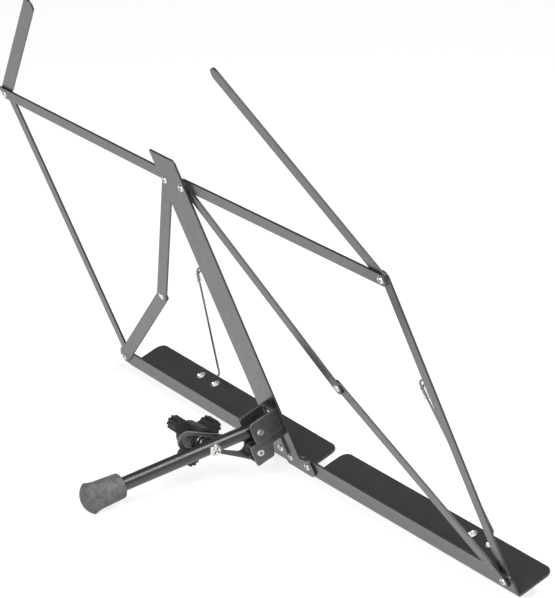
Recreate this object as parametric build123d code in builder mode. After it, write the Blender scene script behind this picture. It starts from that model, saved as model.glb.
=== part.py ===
from build123d import *
import os
from math import asin, atan2, cos, degrees, hypot, radians, sin, sqrt

os.makedirs("parts", exist_ok=True)

# A folding music desk that stands on a table: two trays, two crossbars and their bars fold
# about a flat spine, and a short leg behind the spine props it up. Millimetres and degrees.
# Desk axes: "across" is to the player's right, "up" runs up the spine and "out" points at
# the player, square to the spine. Heights on the desk are counted from the head pivots.

# Driving dimensions
sheet = 1.5  # steel strip and sheet of the whole desk
lean = 24.5  # the spine leans back from the vertical
fold_span = 240  # pivot to pivot of a crossbar, a tray and a side bar
head_pitch = 22  # between the two head pivots
foot_pitch = 22  # between the two foot pivots
foot_shift = -3.5  # the foot pivots stand off the spine's middle line
left_rise = 1.1  # the left tray and crossbar rise a little towards their outer end
rivet_radius = 2
rivet_head = 2.8
rivet_bore = 1.1  # hollow end of a rivet, at the back
rivet_bore_depth = 1.6
dome = 0.8  # height of a rivet's head
running_gap = 0.05  # radial play of a rivet in a part that turns on it
free_gap = 0.5  # air between the spine and the brace links
free_gap_washer = 4.5  # radius of the washer that fills it at a head pivot
free_gap_play = 0.1  # what an elbow rivet's low head leaves of it

spine_width = 32
spine_head = 23  # the spine's end above the head pivots
spine_corner = 1.8
foot_radius = 8.5  # metal round the foot pivots
foot_joggle = 3.5  # the spine's foot steps this far forward
joggle_start = 10.4  # the step ends this far above the foot pivots
joggle_run = 4

crossbar_width = 9.5
side_bar_width = 9.2
bar_end_flat = 0.3  # flat left between the two corners of a squared end
brace_width = 10
elbow_inset = 12.8  # the left elbow stands this far in from the line between its link's ends
arm_width = 10.5
arm_reach_right = 163  # pivot to tip
arm_reach_left = 173
arm_angle_right = 41.6  # top arms at rest, above the line of the crossbar
arm_angle_left = 43.1

tray_drop = 10.5  # ledge's underside below the pivots
flange_top = 6.5
tray_depth = 30.7
bend_radius = 2.5
ledge_corner = 7
ledge_inner_right = -11.2  # ends of the ledge, from the foot pivot
ledge_outer_right = 239.5
ledge_inner_left = -1.2
ledge_outer_left = 250.1
flange_inner_right = -11.2
flange_outer_right = 247
flange_inner_left = -8
flange_outer_left = 250.1
flange_corner = 6

clip_place_right = 160  # page holder, from the foot pivot
clip_place_left = 176.7
clip_setback = 6.9  # eyelets behind the ledge's front edge
eyelet_pitch = 21
eyelet_bore = 2.2
eyelet_wall = 0.6
eyelet_rim = 3.7
eyelet_lip = 0.35
eyelet_sink = 0.9  # the eyelets are set flush in countersunk holes
clip_sheet = 0.8
wire_radius = 0.8
wire_play = 0.1
wire_bend = 2.5
wire_stand = 3.1  # wire's middle in front of the ledge's edge
wire_reach = 122.7  # root to tip
wire_lean_right = 21.2  # page holders lean inwards
wire_lean_left = 10.6
wire_eye = 1.9
sleeve_length = 8
sleeve_wall = 1

leg_pivot_up = -198
leg_pivot_back = 15.6
stay_pivot_drop = 15  # below the leg's pivot
stay_pivot_back = 21
ear_inside = 5.5  # the right ear's inner face, and the left cheek's
ear_rise = 9.5  # the ears' top edge above the leg's pivot
ear_drop = 8  # their lower edge below it
ear_depth = 21.8
ear_corner = 3
ear_relief = 6.5  # the right ear is cut back above its lobe
ear_lobe = 4.4
web_rivet_rise = 4.5  # above the leg's pivot
tongue_inner = -2
tongue_outer = 11
tongue_length = 26.5
tongue_corner = 3
tongue_rivet_across = 4.5
tongue_rivet_rise = 5.7  # above the tongue's end

tube_radius = 5
tube_wall = 1
tube_heel = 6  # tube behind its pivot
clamp_place = 36  # clamp screw, from the leg's pivot
foot_start = 108  # rubber foot, from the leg's pivot
foot_neck = 9.15
foot_waist = 9.85
foot_rim = 11.35
foot_rim_place = 133
foot_crown = 139
foot_flare = 125
foot_round = 1.8
foot_socket = 24

stay_width = 13.8
slot_width = 8.6
slot_start = 5  # the slot's ends, from the stay's pivot
slot_end = 56
stay_reach = 60
stay_rise = 1.4  # the slot's line passes the clamp screw at this angle above it
cheek_ahead = 12.8  # the stay's cheeks round their pivot
cheek_behind = 5.8
cheek_above = 7.5
cheek_below = 8.5
cheek_taper = 4
cheek_corner = 1.5
root_run = 26  # the stay's root narrows over this run behind the pivot

screw_radius = 2.5
screw_head = 4.4
screw_head_height = 3
screw_crown = 1.4
recess_span = 5.7
recess_width = 1
recess_depth = 1.2
washer_radius = 7
washer_thick = 1.2
hub_radius = 10.5
hub_length = 9.8
lobe_count = 3
lobe_first = 65.5  # direction of the first lobe, from straight back towards the spine's head
lobe_place = 15.3
lobe_radius = 5.6
lobe_length = 12
lobe_core = 9.5
rib_count = 5
rib_depth = 0.9
knob_edge = 0.8
knob_cap = 2  # closed end of the knob

# Layers of the flat parts, counted out from the spine's back face
brace_upper_out = sheet + free_gap
crossbar_out = brace_upper_out + sheet
flange_out = crossbar_out + sheet
side_bar_out = flange_out + sheet

# Heights of the leg bracket, which follow the leg's pivot
stay_pivot_up = leg_pivot_up - stay_pivot_drop
ear_top = leg_pivot_up + ear_rise
ear_bottom = leg_pivot_up - ear_drop
web_rivet = leg_pivot_up + web_rivet_rise
tongue_end = ear_bottom - tongue_length
tongue_rivet = (tongue_rivet_across, tongue_end + tongue_rivet_rise)

# Where the desk stands: the lower edge of the trays and the rim of the foot touch the ground
lean_sin = sin(radians(lean))
lean_cos = cos(radians(lean))
edge_up = -fold_span - tray_drop + bend_radius
edge_out = flange_out + bend_radius
head_height = bend_radius - edge_up * lean_cos - edge_out * lean_sin


def height_of(up, out):
    return head_height + up * lean_cos + out * lean_sin


leg_height = height_of(leg_pivot_up, -leg_pivot_back)
rim_reach = hypot(foot_rim_place, foot_rim)
leg_slope = degrees(asin(leg_height / rim_reach) - atan2(foot_rim, foot_rim_place))
leg_angle = lean - leg_slope  # above the line square to the spine's back

# The origin is on the ground, in the middle of the stand's outline seen from above
reach_right = head_pitch / 2 + fold_span + crossbar_width / 2
left_end = ledge_outer_left * cos(radians(left_rise)) + tray_drop * sin(radians(left_rise))
reach_left = foot_pitch / 2 - foot_shift + left_end
front_out = flange_out + tray_depth + wire_stand + wire_radius
front_up = -fold_span - tray_drop - wire_play - wire_radius
reach_front = front_out * lean_cos - (front_up + wire_bend) * lean_sin
leg_back = leg_pivot_up * lean_sin + leg_pivot_back * lean_cos
reach_back = leg_back + foot_crown * cos(radians(leg_slope))
middle_x = (reach_left - reach_right) / 2
middle_y = (reach_front - reach_back) / 2

desk = Plane(
    origin=(middle_x, middle_y, head_height),
    x_dir=(1, 0, 0),
    z_dir=(0, -lean_cos, lean_sin),
)


def turned(spot, start, normal, turn):
    return Plane(spot, x_dir=start.rotate(Axis((0, 0, 0), normal), turn), z_dir=normal)


def layer(across, up, out, turn=0):
    spot = desk.from_local_coords((across, up, out))
    return turned(spot, desk.x_dir, desk.z_dir, turn)


def side_view(across, back=0, up=0, turn=0):
    spot = desk.from_local_coords((across, up, -back))
    return turned(spot, -desk.z_dir, desk.x_dir, turn)


def nearest(shapes, x, y):
    return shapes.sort_by_distance((x, y, 0))[0]


def finish(made, name):
    made.part.label = name
    export_step(made.part, f"parts/{name}.step")


# Joints of the two sides: pivots as (across, up)
sides = {"right": 1, "left": -1}
rise = {"right": 0, "left": left_rise}
head_pivot = {name: (side * head_pitch / 2, 0) for name, side in sides.items()}
foot_pivot = {
    name: (foot_shift + side * foot_pitch / 2, -fold_span) for name, side in sides.items()
}


clip_place = {"right": clip_place_right, "left": clip_place_left}
wire_lean = {"right": wire_lean_right, "left": wire_lean_left}
arm_reach = {"right": arm_reach_right, "left": arm_reach_left}
arm_angle = {"right": arm_angle_right, "left": arm_angle_left}


def carried(start, side, angle, along):
    turn = radians(angle)
    return (start[0] + side * along * cos(turn), start[1] + along * sin(turn))


tray_end = {
    name: carried(foot_pivot[name], side, rise[name], fold_span) for name, side in sides.items()
}
left_chord = hypot(tray_end["left"][0] - head_pivot["left"][0], tray_end["left"][1])
brace_length = hypot(left_chord / 2, elbow_inset)


# Spine
joggle_top = -fold_span + joggle_start
with BuildPart() as spine:
    with BuildSketch(side_view(spine_width)) as strip:
        with BuildLine():
            Polyline(
                (0, spine_head),
                (0, joggle_top),
                (-foot_joggle, joggle_top - joggle_run),
                (-foot_joggle, -fold_span - foot_radius),
                (-foot_joggle - sheet, -fold_span - foot_radius),
                (-foot_joggle - sheet, joggle_top - joggle_run),
                (-sheet, joggle_top),
                (-sheet, spine_head),
                close=True,
            )
        make_face()
    extrude(amount=-2 * spine_width)
    with BuildSketch(layer(0, 0, 0)) as outline:
        with Locations((0, (spine_head - fold_span - foot_radius) / 2)):
            Rectangle(spine_width, spine_head + fold_span + foot_radius)
        with Locations(foot_pivot["left"]):
            Circle(foot_radius)
        with Locations((foot_pivot["left"][0] / 2, -fold_span)):
            Rectangle(-foot_pivot["left"][0], 2 * foot_radius)
        chamfer(nearest(outline.vertices(), -spine_width / 2, spine_head), spine_corner)
        fillet(nearest(outline.vertices(), spine_width / 2, -fold_span - foot_radius), spine_corner)
    extrude(amount=crossbar_out + sheet, mode=Mode.INTERSECT)
    with BuildSketch(layer(0, 0, 0)):
        with Locations(*head_pivot.values(), *foot_pivot.values()):
            Circle(rivet_radius)
        with Locations((0, web_rivet), tongue_rivet):
            Circle(rivet_radius)
    extrude(amount=crossbar_out + sheet, mode=Mode.SUBTRACT)
finish(spine, "spine")


def rivet(spot, back, front, head_back=dome, head_front=dome):
    with BuildPart() as made:
        with BuildSketch(layer(*spot, back)):
            Circle(rivet_radius)
        extrude(amount=front - back)
        for face_out, height, way in ((back, head_back, -1), (front, head_front, 1)):
            if height:
                with BuildSketch(layer(*spot, face_out)):
                    Circle(rivet_head)
                extrude(amount=way * height, taper=30)
        if head_back == dome:
            with BuildSketch(layer(*spot, back - dome)):
                Circle(rivet_bore)
            extrude(amount=rivet_bore_depth, mode=Mode.SUBTRACT)
    return made


# Head rivets, each with the thin washer that holds the brace link off the spine
with BuildPart() as head_rivets:
    for name in sides:
        add(rivet(head_pivot[name], 0, crossbar_out + sheet).part)
        with BuildSketch(layer(*head_pivot[name], sheet)):
            Circle(free_gap_washer)
        extrude(amount=free_gap)
finish(head_rivets, "head_rivets")

# Foot rivets, one for each tray
with BuildPart() as foot_rivets:
    for name in sides:
        add(rivet(foot_pivot[name], foot_joggle, flange_out + sheet).part)
finish(foot_rivets, "foot_rivets")


def bar(plane, span, width, side, hole_start, hole_end, square=0):
    with BuildPart() as made:
        with BuildSketch(plane) as outline:
            with Locations((side * span / 2, 0)):
                Rectangle(span, width)
            Circle(width / 2)
            with Locations((side * span, 0)):
                Circle(width / 2)
            if square:
                with Locations((side * (span + width / 4), 0)):
                    Rectangle(width / 2, width)
                end = side * (span + width / 2)
                fillet(nearest(outline.vertices(), end, width / 2), square)
                fillet(nearest(outline.vertices(), end, -width / 2), width / 2 - bar_end_flat)
            Circle(hole_start, mode=Mode.SUBTRACT)
            with Locations((side * span, 0)):
                Circle(hole_end, mode=Mode.SUBTRACT)
        extrude(amount=sheet)
    return made


turning = rivet_radius + running_gap
eyelet_taper = degrees(atan2(eyelet_rim - eyelet_bore - eyelet_wall, eyelet_sink))
for name, side in sides.items():
    rising = rise[name]
    head = head_pivot[name]
    foot = foot_pivot[name]
    bar_top = carried(head, side, rising, fold_span)
    end = tray_end[name]

    # Crossbar, and the rivet at its outer end that the top arm and the side bar turn on
    crossbar_plane = layer(*head, crossbar_out, side * rising)
    crossbar = bar(crossbar_plane, fold_span, crossbar_width, side, turning, rivet_radius, 1)
    finish(crossbar, f"crossbar_{name}")
    crossbar_rivet = rivet(bar_top, crossbar_out, side_bar_out + sheet)
    finish(crossbar_rivet, f"crossbar_rivet_{name}")

    # Tray: a bent sheet with an upright flange behind the ledge
    inner, outer = (ledge_inner_right, ledge_outer_right)
    flange_in, flange_end = (flange_inner_right, flange_outer_right)
    if name == "left":
        inner, outer = (ledge_inner_left, ledge_outer_left)
        flange_in, flange_end = (flange_inner_left, flange_outer_left)
    tray_layer = layer(*foot, flange_out, side * rising)
    ledge_front = flange_out + tray_depth
    with BuildPart() as tray:
        ledge_length = outer - inner
        section_spot = tray_layer.from_local_coords((side * (inner + outer) / 2, 0, 0))
        section_plane = Plane(section_spot, x_dir=tray_layer.z_dir, z_dir=-tray_layer.x_dir)
        with BuildSketch(section_plane) as section:
            Polygon(
                (0, flange_top),
                (0, -tray_drop),
                (tray_depth, -tray_drop),
                (tray_depth, sheet - tray_drop),
                (sheet, sheet - tray_drop),
                (sheet, flange_top),
                align=None,
            )
            fillet(nearest(section.vertices(), 0, -tray_drop), bend_radius)
            fillet(nearest(section.vertices(), sheet, sheet - tray_drop), bend_radius - sheet)
        extrude(amount=ledge_length / 2, both=True)
        with BuildSketch(tray_layer) as upright:
            bottom = bend_radius - tray_drop
            with Locations((side * (flange_in + flange_end) / 2, (flange_top + bottom) / 2)):
                Rectangle(flange_end - flange_in, flange_top - bottom)
        extrude(amount=sheet)
        corner_in = Plane(tray_layer.from_local_coords((0, 0, 0)), tray_layer.x_dir, tray_layer.z_dir)
        with BuildSketch(corner_in) as trim:
            reach_in = side * min(inner, flange_in)
            reach_out = side * max(outer, flange_end)
            top = flange_top
            with Locations(((reach_in + reach_out) / 2, (top - tray_drop) / 2)):
                Rectangle(abs(reach_out - reach_in), top + tray_drop)
            fillet(nearest(trim.vertices(), reach_in, top), flange_corner)
            fillet(nearest(trim.vertices(), reach_out, top), flange_corner)
        extrude(amount=tray_depth, mode=Mode.INTERSECT)
        ledge_plane = Plane(
            tray_layer.from_local_coords((0, sheet - tray_drop, 0)),
            x_dir=tray_layer.x_dir,
            z_dir=-tray_layer.y_dir,
        )
        ledge_edges = tray.edges().filter_by(Axis((0, 0, 0), tray_layer.y_dir))
        front_edges = ledge_edges.group_by(Axis((0, 0, 0), tray_layer.z_dir))[-1]
        fillet(front_edges, ledge_corner)
        eyelets = [
            (side * (clip_place[name] + way * eyelet_pitch / 2), tray_depth - clip_setback)
            for way in (-1, 1)
        ]
        with BuildSketch(ledge_plane):
            with Locations(*eyelets):
                Circle(eyelet_bore + eyelet_wall)
        extrude(amount=sheet, mode=Mode.SUBTRACT)
        with BuildSketch(ledge_plane):
            with Locations(*eyelets):
                Circle(eyelet_rim)
        extrude(amount=eyelet_sink, taper=eyelet_taper, mode=Mode.SUBTRACT)
        with BuildSketch(tray_layer):
            Circle(turning)
            with Locations((side * fold_span, 0)):
                Circle(rivet_radius)
        extrude(amount=sheet, mode=Mode.SUBTRACT)
    finish(tray, f"tray_{name}")
    tray_rivet = rivet(end, crossbar_out, side_bar_out + sheet)
    finish(tray_rivet, f"tray_rivet_{name}")

    # Clip under the ledge: a strip with a channel across it that the wire's root turns in
    channel = wire_radius + wire_play
    clip_plane = Plane(
        tray_layer.from_local_coords((side * clip_place[name], -tray_drop, tray_depth)),
        x_dir=tray_layer.x_dir,
        z_dir=tray_layer.z_dir,
    )
    clip_length = 2 * clip_setback
    with BuildPart() as holder_clip:
        with BuildSketch(clip_plane) as clip_section:
            with Locations((0, -clip_sheet / 2)):
                Rectangle(eyelet_pitch + 2 * eyelet_rim, clip_sheet)
            with Locations((0, -channel)):
                Circle(channel + clip_sheet)
            with Locations((0, clip_sheet)):
                Rectangle(4 * channel, 2 * clip_sheet, mode=Mode.SUBTRACT)
            with Locations((0, -channel)):
                Circle(channel, mode=Mode.SUBTRACT)
            with Locations((0, -channel / 2)):
                Rectangle(2 * channel, channel, mode=Mode.SUBTRACT)
        extrude(amount=-clip_length)
        with BuildSketch(ledge_plane):
            with Locations(*eyelets):
                Circle(eyelet_bore + eyelet_wall)
        extrude(amount=sheet + clip_sheet, mode=Mode.SUBTRACT)
    finish(holder_clip, f"holder_clip_{name}")
    with BuildPart() as clip_eyelets:
        with BuildSketch(ledge_plane):
            with Locations(*eyelets):
                Circle(eyelet_rim)
        extrude(amount=eyelet_sink, taper=eyelet_taper)
        with BuildSketch(ledge_plane):
            with Locations(*eyelets):
                Circle(eyelet_bore + eyelet_wall)
        extrude(amount=sheet + clip_sheet)
        with BuildSketch(ledge_plane.offset(sheet + clip_sheet)):
            with Locations(*eyelets):
                Circle(eyelet_rim)
        extrude(amount=eyelet_wall)
        with BuildSketch(ledge_plane):
            with Locations(*eyelets):
                Circle(eyelet_bore)
        extrude(amount=sheet + clip_sheet + eyelet_wall, mode=Mode.SUBTRACT)
        with BuildSketch(ledge_plane):
            with Locations(*eyelets):
                Circle(eyelet_rim - eyelet_lip)
        extrude(amount=eyelet_sink, taper=eyelet_taper, mode=Mode.SUBTRACT)
    finish(clip_eyelets, f"clip_eyelets_{name}")

    # Page holder: root in the clip, bend in front of the ledge, long arm and an eye at the tip
    root_up = -tray_drop - channel
    root_out = tray_depth + wire_stand
    root = tray_layer.from_local_coords((side * clip_place[name], root_up, root_out))
    wire_turn = side * (wire_lean[name] - rising)
    arm_way = layer(0, 0, 0, side * rising + wire_turn).y_dir
    side_way = layer(0, 0, 0, side * rising + wire_turn).x_dir
    wire_plane = Plane(root, x_dir=-desk.z_dir, z_dir=side_way)
    shaft_end = wire_reach - 2 * wire_eye
    with BuildPart() as page_holder:
        with BuildLine(wire_plane) as route:
            foot_run = Line((clip_length + wire_stand, 0), (wire_bend, 0))
            turn_up = TangentArc(foot_run @ 1, (0, wire_bend), tangent=foot_run % 1)
            shaft = Line(turn_up @ 1, (0, shaft_end))
            JernArc(shaft @ 1, shaft % 1, wire_eye, 290)
        with BuildSketch(Plane(route.line @ 0, x_dir=side_way, z_dir=route.line % 0)):
            Circle(wire_radius)
        sweep()
    finish(page_holder, f"page_holder_{name}")
    sleeve_start = shaft_end - wire_eye - wire_radius - wire_play - sleeve_length
    sleeve_plane = Plane(
        wire_plane.from_local_coords((0, sleeve_start, 0)),
        x_dir=side_way,
        z_dir=arm_way,
    )
    with BuildPart() as holder_sleeve:
        with BuildSketch(sleeve_plane):
            Circle(wire_radius + sleeve_wall)
            Circle(wire_radius + wire_play, mode=Mode.SUBTRACT)
        extrude(amount=sleeve_length)
    finish(holder_sleeve, f"holder_sleeve_{name}")

    # Side bar from the tray's end to the crossbar's end
    rise_across = bar_top[0] - end[0]
    rise_up = bar_top[1] - end[1]
    bar_turn = degrees(atan2(rise_up, rise_across))
    bar_span = hypot(rise_across, rise_up)
    side_bar_plane = layer(*end, side_bar_out, bar_turn)
    side_bar = bar(side_bar_plane, bar_span, side_bar_width, 1, turning, turning + running_gap)
    finish(side_bar, f"side_bar_{name}")

    # Brace links: two equal links that meet at an elbow bent in towards the spine
    chord_across = end[0] - head[0]
    chord_up = end[1] - head[1]
    chord = hypot(chord_across, chord_up)
    bend = degrees(atan2(sqrt(brace_length**2 - chord**2 / 4), chord / 2))
    chord_turn = degrees(atan2(chord_up, chord_across))
    upper_turn = chord_turn - side * bend
    lower_turn = chord_turn + 180 + side * bend
    upper_plane = layer(*head, brace_upper_out, upper_turn)
    brace_upper = bar(upper_plane, brace_length, brace_width, 1, turning, rivet_radius)
    finish(brace_upper, f"brace_upper_{name}")
    lower_plane = layer(*end, crossbar_out, lower_turn)
    brace_lower = bar(lower_plane, brace_length, brace_width, 1, turning, rivet_radius)
    finish(brace_lower, f"brace_lower_{name}")
    elbow_up = radians(upper_turn)
    elbow = (head[0] + brace_length * cos(elbow_up), head[1] + brace_length * sin(elbow_up))
    elbow_rivet = rivet(elbow, brace_upper_out, brace_upper_out + sheet, free_gap - free_gap_play, 0)
    finish(elbow_rivet, f"elbow_rivet_{name}")
    elbow_tail = rivet(elbow, crossbar_out, crossbar_out + sheet, 0, 0)
    finish(elbow_tail, f"elbow_tail_{name}")

    # Top arm, laid inwards and up from the crossbar's end
    arm_turn = 90 + side * (90 - arm_angle[name])
    arm_plane = layer(*bar_top, flange_out, arm_turn)
    with BuildPart() as top_arm:
        with BuildSketch(arm_plane):
            arm_span = arm_reach[name] - arm_width / 2
            with Locations((arm_span / 2, 0)):
                SlotCenterToCenter(arm_span, arm_width)
            Circle(turning, mode=Mode.SUBTRACT)
        extrude(amount=sheet)
    finish(top_arm, f"top_arm_{name}")

# Leg bracket: a web and a tongue on the spine's back, an ear at each side, and inside the
# left ear a lug that carries the stay's pivot together with the right ear's lobe
ear_outside = ear_inside + sheet
left_ear = -ear_outside - sheet
lug_face = -ear_inside
lobe_front = stay_pivot_back - ear_lobe
lobe_top = stay_pivot_up + ear_lobe


def ear_outline():
    with Locations((ear_depth / 2, (ear_top + ear_bottom) / 2)):
        Rectangle(ear_depth, ear_top - ear_bottom)


with BuildPart() as leg_bracket:
    with BuildSketch(layer(0, 0, -sheet)) as web:
        with Locations(((left_ear + ear_outside) / 2, (ear_top + ear_bottom) / 2)):
            Rectangle(ear_outside - left_ear, ear_top - ear_bottom)
        with Locations(((lug_face + ear_outside) / 2, (ear_top + stay_pivot_up) / 2)):
            Rectangle(ear_outside - lug_face, ear_top - stay_pivot_up)
        with Locations(((tongue_inner + tongue_outer) / 2, (ear_bottom + tongue_end) / 2)):
            Rectangle(tongue_outer - tongue_inner, ear_bottom - tongue_end)
        fillet(web.vertices().group_by(Axis.Y)[0], tongue_corner)
        with Locations((0, web_rivet), tongue_rivet):
            Circle(rivet_radius, mode=Mode.SUBTRACT)
    extrude(amount=sheet)
    with BuildSketch(side_view(left_ear)) as near_ear:
        ear_outline()
        fillet(near_ear.vertices().group_by(Axis.X)[-1], ear_corner)
        with Locations((leg_pivot_back, leg_pivot_up)):
            Circle(rivet_radius, mode=Mode.SUBTRACT)
    extrude(amount=sheet)
    with BuildSketch(side_view(ear_inside)) as far_ear:
        ear_outline()
        fillet(nearest(far_ear.vertices(), ear_depth, ear_top), ear_corner)
        chamfer(nearest(far_ear.vertices(), ear_depth, ear_bottom), ear_relief)
        Polygon(
            (0, ear_bottom),
            (lobe_front, ear_bottom),
            (lobe_front, stay_pivot_up),
            (0, stay_pivot_up),
            align=None,
        )
        with Locations((stay_pivot_back, stay_pivot_up)):
            Circle(ear_lobe)
        with Locations((leg_pivot_back, leg_pivot_up), (stay_pivot_back, stay_pivot_up)):
            Circle(rivet_radius, mode=Mode.SUBTRACT)
    extrude(amount=sheet)
    with BuildSketch(side_view(lug_face)):
        Polygon(
            (0, lobe_top),
            (stay_pivot_back, lobe_top),
            (lobe_front, stay_pivot_up),
            (0, stay_pivot_up),
            align=None,
        )
        with Locations((stay_pivot_back, stay_pivot_up)):
            Circle(ear_lobe)
            Circle(rivet_radius, mode=Mode.SUBTRACT)
    extrude(amount=sheet)
finish(leg_bracket, "leg_bracket")

with BuildPart() as bracket_rivets:
    for spot in ((0, web_rivet), tongue_rivet):
        add(rivet(spot, -sheet, sheet, dome, 0).part)
finish(bracket_rivets, "bracket_rivets")


def cross_pin(back, up, start, end, head_start, head_end):
    with BuildPart() as made:
        with BuildSketch(side_view(start, back, up)):
            Circle(rivet_radius)
        extrude(amount=end - start)
        for across, height, way in ((start, head_start, -1), (end, head_end, 1)):
            if height:
                with BuildSketch(side_view(across, back, up)):
                    Circle(rivet_head)
                extrude(amount=way * height, taper=30)
        with BuildSketch(side_view(start - head_start, back, up)):
            Circle(rivet_bore)
        extrude(amount=rivet_bore_depth, mode=Mode.SUBTRACT)
    return made


# Leg pivot: its right end is flush, because the stay sweeps over it
leg_pivot = cross_pin(leg_pivot_back, leg_pivot_up, left_ear, ear_outside, dome, 0)
finish(leg_pivot, "leg_pivot")
stay_far = ear_outside + sheet
stay_pivot = cross_pin(stay_pivot_back, stay_pivot_up, -ear_outside, stay_far, dome, dome)
finish(stay_pivot, "stay_pivot")

# Leg tube and rubber foot, along the leg's own axis
leg_view = side_view(0, leg_pivot_back, leg_pivot_up, leg_angle)
leg_way = leg_view.x_dir
leg_axis = Axis(leg_view.origin, leg_way)
tube_end = foot_start + foot_socket
flare_run = foot_rim_place - foot_flare
flare_rise = foot_rim - foot_waist
flare_radius = (flare_run**2 + flare_rise**2) / (2 * flare_rise)
crown_rise = foot_crown - foot_rim_place
crown_radius = (crown_rise**2 + foot_rim**2) / (2 * crown_rise)
with BuildPart() as leg_tube:
    tube_spot = leg_view.from_local_coords((-tube_heel, 0, 0))
    with BuildSketch(Plane(tube_spot, x_dir=desk.x_dir, z_dir=leg_way)):
        Circle(tube_radius)
        Circle(tube_radius - tube_wall, mode=Mode.SUBTRACT)
    extrude(amount=tube_heel + tube_end)
    with BuildSketch(leg_view):
        Circle(turning)
        with Locations((clamp_place, 0)):
            Circle(screw_radius)
    extrude(amount=2 * tube_radius, both=True, mode=Mode.SUBTRACT)
finish(leg_tube, "leg_tube")

with BuildPart() as leg_foot:
    with BuildSketch(leg_view) as foot_half:
        with BuildLine():
            Polyline(
                (foot_crown, 0),
                (tube_end, 0),
                (tube_end, tube_radius),
                (foot_start, tube_radius),
                (foot_start, foot_neck - foot_round),
            )
            RadiusArc((foot_start, foot_neck - foot_round), (foot_start + foot_round, foot_neck), foot_round)
            Line((foot_start + foot_round, foot_neck), (foot_flare, foot_waist))
            RadiusArc((foot_flare, foot_waist), (foot_rim_place, foot_rim), -flare_radius)
            RadiusArc((foot_rim_place, foot_rim), (foot_crown, 0), crown_radius)
        make_face()
    revolve(axis=leg_axis)
finish(leg_foot, "leg_foot")

# Stay: a slotted strip at the right, bent under at its root into a cheek at the left
clamp_angle = radians(leg_angle)
clamp_back = leg_pivot_back + clamp_place * cos(clamp_angle)
clamp_up = leg_pivot_up + clamp_place * sin(clamp_angle)
clamp_line = degrees(atan2(clamp_up - stay_pivot_up, clamp_back - stay_pivot_back))
stay_turn = clamp_line + stay_rise
cheek_front = stay_pivot_back - cheek_ahead
cheek_back = stay_pivot_back + cheek_behind
cheek_top = stay_pivot_up + cheek_above
cheek_bottom = stay_pivot_up - cheek_below
with BuildPart() as stay_arm:
    for across in (-ear_outside, ear_outside):
        with BuildSketch(side_view(across)) as cheek:
            Polygon(
                (cheek_front, cheek_top),
                (cheek_back, cheek_top),
                (cheek_back, cheek_bottom),
                (cheek_front + cheek_taper, cheek_bottom),
                align=None,
            )
            fillet(cheek.vertices(), cheek_corner)
        extrude(amount=sheet)
    stay_line = side_view(ear_outside, stay_pivot_back, stay_pivot_up, stay_turn)
    with BuildSketch(stay_line):
        with Locations(((stay_reach - stay_width / 2) / 2, 0)):
            SlotCenterToCenter(stay_reach - stay_width / 2, stay_width)
        root_corner = stay_line.to_local_coords(side_view(ear_outside).from_local_coords(
            (cheek_back - cheek_corner, cheek_bottom, 0)
        ))
        Polygon(
            (0, 0),
            (root_corner.X, root_corner.Y),
            (root_run, -stay_width / 2),
            align=None,
        )
    extrude(amount=sheet)
    under_front = cheek_front + cheek_taper + cheek_corner
    under_back = cheek_back - cheek_corner
    with BuildSketch(side_view(-ear_outside)):
        with Locations(((under_front + under_back) / 2, cheek_bottom + sheet / 2)):
            Rectangle(under_back - under_front, sheet)
    extrude(amount=ear_outside + stay_far)
    with BuildSketch(stay_line):
        with Locations(((slot_start + slot_end) / 2, 0)):
            SlotOverall(slot_end - slot_start, slot_width)
    extrude(amount=sheet, mode=Mode.SUBTRACT)
    with BuildSketch(side_view(0, stay_pivot_back, stay_pivot_up)):
        Circle(turning)
    extrude(amount=stay_far, both=True, mode=Mode.SUBTRACT)
finish(stay_arm, "stay_arm")

# Clamp: screw through the leg and the slot, spacer, washer and knob
washer_end = stay_far + washer_thick
knob_lobes = washer_end + hub_length
knob_end = knob_lobes + lobe_length


def clamp_view(across, turn=0):
    return side_view(across, clamp_back, clamp_up, leg_angle + turn)


with BuildPart() as clamp_screw:
    with BuildSketch(clamp_view(-tube_radius)):
        Circle(screw_radius)
    extrude(amount=tube_radius + knob_end - knob_cap)
    with BuildSketch(clamp_view(-tube_radius)):
        Circle(screw_head)
    extrude(amount=-screw_head_height)
    crown_edge = clamp_screw.edges().filter_by(GeomType.CIRCLE).group_by(Axis.X)[0]
    fillet(crown_edge, screw_crown)
    with BuildSketch(clamp_view(-tube_radius - screw_head_height, 45)):
        Rectangle(recess_span, recess_width)
        Rectangle(recess_width, recess_span)
    extrude(amount=recess_depth, mode=Mode.SUBTRACT)
finish(clamp_screw, "clamp_screw")

with BuildPart() as clamp_spacer:
    with BuildSketch(clamp_view(tube_radius)):
        Circle(tube_radius)
        Circle(screw_radius, mode=Mode.SUBTRACT)
    extrude(amount=ear_outside - tube_radius)
finish(clamp_spacer, "clamp_spacer")

with BuildPart() as clamp_washer:
    with BuildSketch(clamp_view(stay_far)):
        Circle(washer_radius)
        Circle(screw_radius, mode=Mode.SUBTRACT)
    extrude(amount=washer_thick)
finish(clamp_washer, "clamp_washer")

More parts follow.
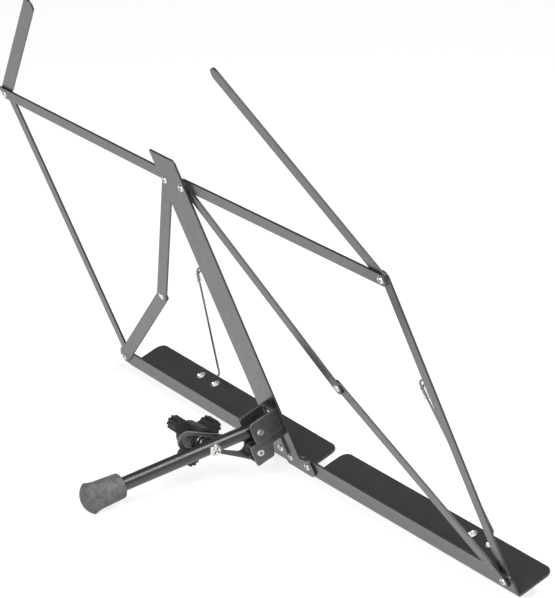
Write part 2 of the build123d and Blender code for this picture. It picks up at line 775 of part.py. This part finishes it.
with BuildPart() as clamp_knob:
    with BuildSketch(clamp_view(washer_end)):
        Circle(hub_radius)
    extrude(amount=hub_length)
    fillet(clamp_knob.edges().filter_by(GeomType.CIRCLE).group_by(Axis.X)[0], knob_edge)
    with BuildSketch(clamp_view(knob_lobes, lobe_first - leg_angle)) as star:
        Circle(lobe_core)
        with PolarLocations(lobe_place, lobe_count):
            Circle(lobe_radius)
        with PolarLocations(lobe_place / 2, lobe_count):
            Rectangle(lobe_place, 1.5 * lobe_radius)
        for lobe in range(lobe_count):
            turn = radians(360 / lobe_count * lobe)
            with Locations((lobe_place * cos(turn), lobe_place * sin(turn))):
                with PolarLocations(lobe_radius, rib_count, degrees(turn) - 90, 180):
                    Circle(rib_depth, mode=Mode.SUBTRACT)
    extrude(amount=lobe_length)
    with BuildSketch(clamp_view(washer_end)):
        Circle(screw_radius + running_gap)
    extrude(amount=knob_end - knob_cap - washer_end, mode=Mode.SUBTRACT)
finish(clamp_knob, "clamp_knob")
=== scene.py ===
import math

import bpy
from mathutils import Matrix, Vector

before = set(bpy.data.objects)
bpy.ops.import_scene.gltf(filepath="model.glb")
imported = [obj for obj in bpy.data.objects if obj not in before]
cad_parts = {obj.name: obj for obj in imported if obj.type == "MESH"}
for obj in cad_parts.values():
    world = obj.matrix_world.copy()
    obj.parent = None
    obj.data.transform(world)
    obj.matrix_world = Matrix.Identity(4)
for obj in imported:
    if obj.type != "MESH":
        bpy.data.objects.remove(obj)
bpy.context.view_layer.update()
mm = 0.001  # patterns are sized in millimetres, and the floor, lamps and camera in metres
sides = ("right", "left")
print("frame loaded:", len(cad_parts), "nodes")


def linear(hexCode):
    # sRGB hex to the linear colour that Blender's sockets take
    channels = [int(hexCode[i : i + 2], 16) / 255 for i in (1, 3, 5)]
    return [c / 12.92 if c <= 0.04045 else ((c + 0.055) / 1.055) ** 2.4 for c in channels] + [1]


def setInputs(tree, node, inputs):
    # an output of another node is linked, anything else is set on the socket itself
    for name, value in inputs.items():
        if isinstance(value, bpy.types.NodeSocket):
            tree.links.new(value, node.inputs[name])
        else:
            node.inputs[name].default_value = value


def addNode(tree, kind, inputs, **settings):
    node = tree.nodes.new(kind)
    for name, value in settings.items():
        setattr(node, name, value)
    setInputs(tree, node, inputs)
    return node.outputs


def newMaterial(name):
    material = bpy.data.materials.new(name)
    material.use_nodes = True
    return material, material.node_tree


def setShader(tree, inputs):
    setInputs(tree, tree.nodes["Principled BSDF"], inputs)


def grain(tree, size, detail=2, roughness=0.5, stretch=(1, 1, 1)):
    # noise whose features are about `size` millimetres across
    place = addNode(tree, "ShaderNodeTexCoord", {})["Object"]
    scaled = addNode(tree, "ShaderNodeMapping", {"Vector": place, "Scale": stretch})["Vector"]
    inputs = {"Vector": scaled, "Scale": 1 / (size * mm), "Detail": detail, "Roughness": roughness}
    return addNode(tree, "ShaderNodeTexNoise", inputs)["Fac"]


def wander(tree, low, high, size, **noise):
    # a value that drifts between `low` and `high` in patches about `size` millimetres across
    usual = {"From Min": 0.35, "From Max": 0.65}  # most of the noise lies between these
    inputs = {"Value": grain(tree, size, **noise), "To Min": low, "To Max": high}
    return addNode(tree, "ShaderNodeMapRange", usual | inputs)["Result"]


edgeSamples = 6  # rays that look for an edge near each point


def relief(tree, size, depth, edge=0):
    # grain that stands `depth` millimetres high, over edges broken by a radius of `edge` millimetres
    inputs = {"Height": grain(tree, size), "Distance": depth * mm}
    if edge:
        rounded = addNode(tree, "ShaderNodeBevel", {"Radius": edge * mm}, samples=edgeSamples)
        inputs["Normal"] = rounded["Normal"]
    return addNode(tree, "ShaderNodeBump", inputs)["Normal"]


def edgeHighlightMask(tree, edge):
    # 0 on flat faces, up to 1 along edges, where edges get a painted highlight
    rounded = addNode(tree, "ShaderNodeBevel", {"Radius": edge * mm}, samples=edgeSamples)["Normal"]
    flat = addNode(tree, "ShaderNodeNewGeometry", {})["Normal"]
    turn = addNode(tree, "ShaderNodeVectorMath", {0: rounded, 1: flat}, operation="DOT_PRODUCT")
    turnRange = {"From Min": 0.99, "From Max": 0.8}  # cosines: just off flat, and well round the edge
    return addNode(tree, "ShaderNodeMapRange", {"Value": turn["Value"]} | turnRange)["Result"]


def dress(material, *names):
    for name in names:
        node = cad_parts[name]
        for slot in node.material_slots:
            slot.material = material
        if not node.material_slots:
            node.data.materials.append(material)


# Satin black stove enamel on steel: faint orange peel, and a sheen that wanders a little
def stoveEnamel(name, enamel):
    material, tree = newMaterial(name)
    mottle = wander(tree, 0, 1, enamel["mottleSize"])
    tones = {"Color1": linear(enamel["face"]), "Color2": linear(enamel["mottle"])}
    colour = addNode(tree, "ShaderNodeMixRGB", {"Fac": mottle} | tones)["Color"]
    # with an edge radius, the edges are painted bright as a highlight
    if enamel["edge"]:
        paintedHighlight = edgeHighlightMask(tree, enamel["edge"])
        tones = {"Color1": colour, "Color2": linear(enamel["edgeHighlightTone"])}
        colour = addNode(tree, "ShaderNodeMixRGB", {"Fac": paintedHighlight} | tones)["Color"]
    shader = {
        "Base Color": colour,
        "Roughness": wander(tree, *enamel["roughness"], enamel["sheenSize"]),
        "IOR": enamel["index"],
        "Normal": relief(tree, enamel["peelSize"], enamel["peelDepth"], enamel["edge"]),
    }
    setShader(tree, shader)
    return material


# Strips and trays: near black, and glossy enough to mirror the white floor and so look grey
strip = {
    "face": "#2a2a2a",
    "mottle": "#2f2f2f",
    "mottleSize": 18,
    "roughness": (0.25, 0.3),
    "sheenSize": 7,
    "index": 1.72,
    "peelSize": 1.1,
    "peelDepth": 0.003,
    "edge": 0,
}
trays = [f"tray_{side}" for side in sides]
flatStrips = ["spine"]
for side in sides:
    for kind in ("crossbar", "side_bar", "brace_upper", "brace_lower", "top_arm"):
        flatStrips.append(f"{kind}_{side}")
dress(stoveEnamel("satinStoveEnamel", strip), *flatStrips, *trays)

# Sheared edges of the strips: duller than the faces, and painted darker as shade
sheared = strip | {"face": "#141414", "mottle": "#1b1b1b", "roughness": (0.38, 0.46)}
deskLean = math.radians(24.5)  # back from upright
deskFacing = Vector((0, -math.cos(deskLean), math.sin(deskLean)))
faceLimit = 0.5  # a facet whose cosine to the desk's facing is under this belongs to an edge
paintedEdgeShade = stoveEnamel("shadedEdgeStoveEnamel", sheared)
# facets of the edges take the darker enamel: painted shade
for name in flatStrips:
    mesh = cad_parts[name].data
    mesh.materials.append(paintedEdgeShade)
    for facet in mesh.polygons:
        if abs(facet.normal @ deskFacing) < faceLimit:
            facet.material_index = len(mesh.materials) - 1

# Pressed bracket and stay: greyer than the strips' enamel, with painted highlights along the edges
pressed = strip | {
    "face": "#404040",
    "mottle": "#4a4a4a",
    "mottleSize": 6,
    "edge": 0.6,
    "edgeHighlightTone": "#d2d2d2",
}
pressings = ["leg_bracket", "stay_arm"]
dress(stoveEnamel("edgeHighlightStoveEnamel", pressed), *pressings)
print("sheet steel enamelled:", len(flatStrips + trays + pressings), "nodes")

# Black enamel on drawn tube: slightly uneven, with a softer highlight than the strips'
tube = {
    "colour": "#202021",
    "roughness": (0.31, 0.36),
    "sheenSize": 6,
    "index": 1.78,
    "peelSize": 2.5,
    "peelDepth": 0.006,
}
tubeEnamel, tree = newMaterial("satinTubeEnamel")
shader = {
    "Base Color": linear(tube["colour"]),
    "Roughness": wander(tree, *tube["roughness"], tube["sheenSize"]),
    "IOR": tube["index"],
    "Normal": relief(tree, tube["peelSize"], tube["peelDepth"]),
}
setShader(tree, shader)
dress(tubeEnamel, "leg_tube")

# Nickel plate on turned and pressed steel: bright and finely marked, with painted shade in bores and
# slots
nickel = {
    "colour": "#d6d5d2",
    # colour of the painted shade in bores and slots
    "recess": "#242424",
    "recessDepth": 1.2,
    "recessOpen": (0.3, 0.72),  # shares of open view at which the painted shade is darkest and gone
    "recessSamples": 8,
    "roughness": (0.16, 0.3),
    "sheenSize": 1.5,
    "markSize": 0.5,  # coarser than real marks, so that they show
    "markDepth": 0.004,
}
nickelPlate, tree = newMaterial("nickelPlatedSteel")
inputs = {"Distance": nickel["recessDepth"] * mm}
openView = addNode(tree, "ShaderNodeAmbientOcclusion", inputs, samples=nickel["recessSamples"])["AO"]
darkest, clean = nickel["recessOpen"]
inputs = {"Value": openView, "From Min": darkest, "From Max": clean}
outsideRecessShade = addNode(tree, "ShaderNodeMapRange", inputs)["Result"]
tones = {"Color1": linear(nickel["recess"]), "Color2": linear(nickel["colour"])}
shader = {
    "Base Color": addNode(tree, "ShaderNodeMixRGB", {"Fac": outsideRecessShade} | tones)["Color"],
    "Metallic": 1,
    "Roughness": wander(tree, *nickel["roughness"], nickel["sheenSize"]),
    "Normal": relief(tree, nickel["markSize"], nickel["markDepth"]),
}
setShader(tree, shader)
plated = ["head_rivets", "foot_rivets", "bracket_rivets", "leg_pivot", "stay_pivot"]
plated += ["clamp_screw", "clamp_spacer", "clamp_washer"]
platedPairs = ["crossbar_rivet", "tray_rivet", "elbow_rivet", "elbow_tail", "holder_clip", "clip_eyelets"]
for side in sides:
    for kind in platedPairs:
        plated.append(f"{kind}_{side}")
dress(nickelPlate, *plated)
print("fastenings plated:", len(plated), "nodes")

# Drawn spring wire: grey steel with faint drawing lines
wire = {
    "colour": "#80807f",
    "roughness": (0.22, 0.38),
    "lineSize": 0.4,  # coarser than real lines, so that they show
    "lineStretch": (1, 1, 0.05),  # lines 20 times as long as they are wide
}
springWire, tree = newMaterial("drawnSpringWire")
shader = {
    "Base Color": linear(wire["colour"]),
    "Metallic": 1,
    "Roughness": wander(tree, *wire["roughness"], wire["lineSize"], stretch=wire["lineStretch"]),
}
setShader(tree, shader)
dress(springWire, *[f"page_holder_{side}" for side in sides])

# Clear soft vinyl sleeves on the wires' tips: the wire shows through
vinyl = {"colour": "#e8eaec", "roughness": 0.18, "index": 1.53}
clearVinyl, tree = newMaterial("clearSoftVinyl")
shader = {
    "Base Color": linear(vinyl["colour"]),
    "Roughness": vinyl["roughness"],
    "IOR": vinyl["index"],
    "Transmission Weight": 1,
}
setShader(tree, shader)
dress(clearVinyl, *[f"holder_sleeve_{side}" for side in sides])

# Moulded ABS of the knob: fine spark texture, and a fine milled grip on the lobes
knob = {
    "colour": "#232324",
    "roughness": (0.36, 0.48),
    "sheenSize": 3,
    "index": 1.54,
    "sparkSize": 0.35,  # coarser than a real spark texture, so that it shows
    "sparkDepth": 0.02,
    "hub": 10,  # radius that stays smooth
    "hubEdge": 1,  # over which the grip starts
    "gripPitch": 1.5,  # about as fine as shows
    "gripDepth": 0.35,
}
mouldedAbs, tree = newMaterial("mouldedBlackAbs")
corners = [Vector(corner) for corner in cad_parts["clamp_knob"].bound_box]
middle = sum(corners, Vector()) / len(corners)
place = addNode(tree, "ShaderNodeTexCoord", {})["Object"]
fromMiddle = addNode(tree, "ShaderNodeVectorMath", {0: place, 1: middle}, operation="SUBTRACT")["Vector"]
inputs = {0: fromMiddle, 1: (0, 1, 1)}  # the knob's axis is X
acrossAxis = addNode(tree, "ShaderNodeVectorMath", inputs, operation="MULTIPLY")["Vector"]
radius = addNode(tree, "ShaderNodeVectorMath", {0: acrossAxis}, operation="LENGTH")["Value"]
hubRange = {"From Min": knob["hub"] * mm, "From Max": (knob["hub"] + knob["hubEdge"]) * mm}
onLobe = addNode(tree, "ShaderNodeMapRange", {"Value": radius} | hubRange)["Result"]
waveScale = math.pi / 10 / (knob["gripPitch"] * mm)  # at scale 1 the wave repeats every pi / 10
grip = 0
for band in ("Y", "Z"):
    inputs = {"Vector": fromMiddle, "Scale": waveScale}
    wave = addNode(tree, "ShaderNodeTexWave", inputs, bands_direction=band)["Fac"]
    grip = addNode(tree, "ShaderNodeMath", {0: wave, 1: grip}, operation="ADD")["Value"]
grip = addNode(tree, "ShaderNodeMath", {0: grip, 1: onLobe}, operation="MULTIPLY")["Value"]
spark = relief(tree, knob["sparkSize"], knob["sparkDepth"])
inputs = {"Height": grip, "Distance": knob["gripDepth"] * mm, "Normal": spark}
shader = {
    "Base Color": linear(knob["colour"]),
    "Roughness": wander(tree, *knob["roughness"], knob["sheenSize"]),
    "IOR": knob["index"],
    "Normal": addNode(tree, "ShaderNodeBump", inputs)["Normal"],
}
setShader(tree, shader)
dress(mouldedAbs, "clamp_knob")

# Moulded rubber foot: matt, clouded by a grey bloom, with a painted highlight along its rims
foot = {
    "dark": "#585858",
    "light": "#868686",
    "bloomSize": 6,
    "bloom": {"detail": 6, "roughness": 0.68},
    "edge": 0.5,
    "edgeHighlightTone": "#a6a6a6",
    "roughness": (0.55, 0.75),
    "index": 1.52,
    "pitSize": 0.6,  # coarser than real pits, so that they show
    "pitDepth": 0.03,
}
bloomedRubber, tree = newMaterial("bloomedGreyRubber")
bloom = wander(tree, 0, 1, foot["bloomSize"], **foot["bloom"])
tones = {"Color1": linear(foot["dark"]), "Color2": linear(foot["light"])}
clouded = addNode(tree, "ShaderNodeMixRGB", {"Fac": bloom} | tones)["Color"]
# rims painted paler as a highlight
rim = edgeHighlightMask(tree, foot["edge"])
tones = {"Color1": clouded, "Color2": linear(foot["edgeHighlightTone"])}
shader = {
    "Base Color": addNode(tree, "ShaderNodeMixRGB", {"Fac": rim} | tones)["Color"],
    "Roughness": wander(tree, *foot["roughness"], foot["bloomSize"], **foot["bloom"]),
    "IOR": foot["index"],
    "Normal": relief(tree, foot["pitSize"], foot["pitDepth"]),
}
setShader(tree, shader)
dress(bloomedRubber, "leg_foot")
print("tube, wires, sleeves, knob and foot dressed")


def seenRays(tree):
    # 1 for the rays that look at the background, straight or in metal and glass
    path = addNode(tree, "ShaderNodeLightPath", {})
    inputs = {0: path["Is Camera Ray"], 1: path["Is Glossy Ray"]}
    direct = addNode(tree, "ShaderNodeMath", inputs, operation="MAXIMUM")["Value"]
    inputs = {0: direct, 1: path["Is Transmission Ray"]}
    return addNode(tree, "ShaderNodeMath", inputs, operation="MAXIMUM")["Value"]


# Floor: white paper that keeps the object's shadow
paper = {"size": 6, "colour": "#b8b8b8", "roughness": 0.9, "glow": 0.8}
bpy.ops.mesh.primitive_plane_add(size=paper["size"])
floor = bpy.context.object
floor.name = "studioFloor"
paleFloor, tree = newMaterial("paleStudioPaper")
inputs = {0: seenRays(tree), 1: paper["glow"]}
shader = {
    "Base Color": linear(paper["colour"]),
    "Roughness": paper["roughness"],
    "Emission Color": (1, 1, 1, 1),
    "Emission Strength": addNode(tree, "ShaderNodeMath", inputs, operation="MULTIPLY")["Value"],
}
setShader(tree, shader)
floor.data.materials.append(paleFloor)

# World: white at the horizon and greyer overhead
sky = {
    "horizon": "#ffffff",
    "overhead": "#868686",
    "fade": (0.05, 0.5),  # sines of the elevations where the fade starts and ends
    "light": 0.6,  # strength of its light on the object, where what is seen has 1
}
world = bpy.data.worlds.new("studioWorld")
bpy.context.scene.world = world
world.use_nodes = True
tree = world.node_tree
direction = addNode(tree, "ShaderNodeTexCoord", {})["Generated"]
height = addNode(tree, "ShaderNodeSeparateXYZ", {"Vector": direction})["Z"]
fadeStart, fadeEnd = sky["fade"]
inputs = {"Value": height, "From Min": fadeStart, "From Max": fadeEnd}
fade = addNode(tree, "ShaderNodeMapRange", inputs)["Result"]
tones = {"Color1": linear(sky["horizon"]), "Color2": linear(sky["overhead"])}
inputs = {"Value": seenRays(tree), "To Min": sky["light"], "To Max": 1}
background = {
    "Color": addNode(tree, "ShaderNodeMixRGB", {"Fac": fade} | tones)["Color"],
    "Strength": addNode(tree, "ShaderNodeMapRange", inputs)["Result"],
}
setInputs(tree, tree.nodes["Background"], background)
print("floor and world made")

aim = Vector((-28.2, -28.5, 143.7)) * mm  # the middle of the view


def placeAround(thing, spot):
    # at its distance from the aim, with its own -Z towards it
    azimuth = math.radians(spot["azimuth"])
    elevation = math.radians(spot["elevation"])
    level = Vector((math.sin(azimuth), -math.cos(azimuth), 0))
    back = level * math.cos(elevation) + Vector((0, 0, math.sin(elevation)))
    thing.location = aim + back * spot["distance"]
    thing.rotation_mode = "QUATERNION"
    thing.rotation_quaternion = back.to_track_quat("Z", "Y")


# Lamps: a soft box overhead and a weaker one behind and low, with power in watts
lamps = {
    "overheadKey": {"azimuth": 300, "elevation": 62, "distance": 1.5, "size": 0.8, "power": 15},
    "backFill": {"azimuth": 218, "elevation": 24, "distance": 1.1, "size": 0.5, "power": 6},
}
for name, lamp in lamps.items():
    light = bpy.data.lights.new(name, "AREA")
    light.size = lamp["size"]
    light.energy = lamp["power"]
    lampObject = bpy.data.objects.new(name, light)
    bpy.context.scene.collection.objects.link(lampObject)
    placeAround(lampObject, lamp)
    lampObject.visible_camera = False
print("lamps placed:", len(lamps))

# Camera: a long lens behind the desk, turned a little about its own axis
view = {
    "azimuth": 238.04,
    "elevation": 18.6,
    "roll": 1.25,
    "distance": 2.3116,
    "lens": 205.62,  # millimetres
    "reach": 20,  # to the furthest thing it shows
}
camera = bpy.data.objects.new("camera", bpy.data.cameras.new("camera"))
bpy.context.scene.collection.objects.link(camera)
bpy.context.scene.camera = camera
camera.data.lens = view["lens"]
camera.data.clip_end = view["reach"]
placeAround(camera, view)
camera.rotation_mode = "XYZ"
camera.rotation_euler.rotate_axis("Z", math.radians(view["roll"]))
bpy.context.scene.view_settings.view_transform = "Standard"
print("camera placed")
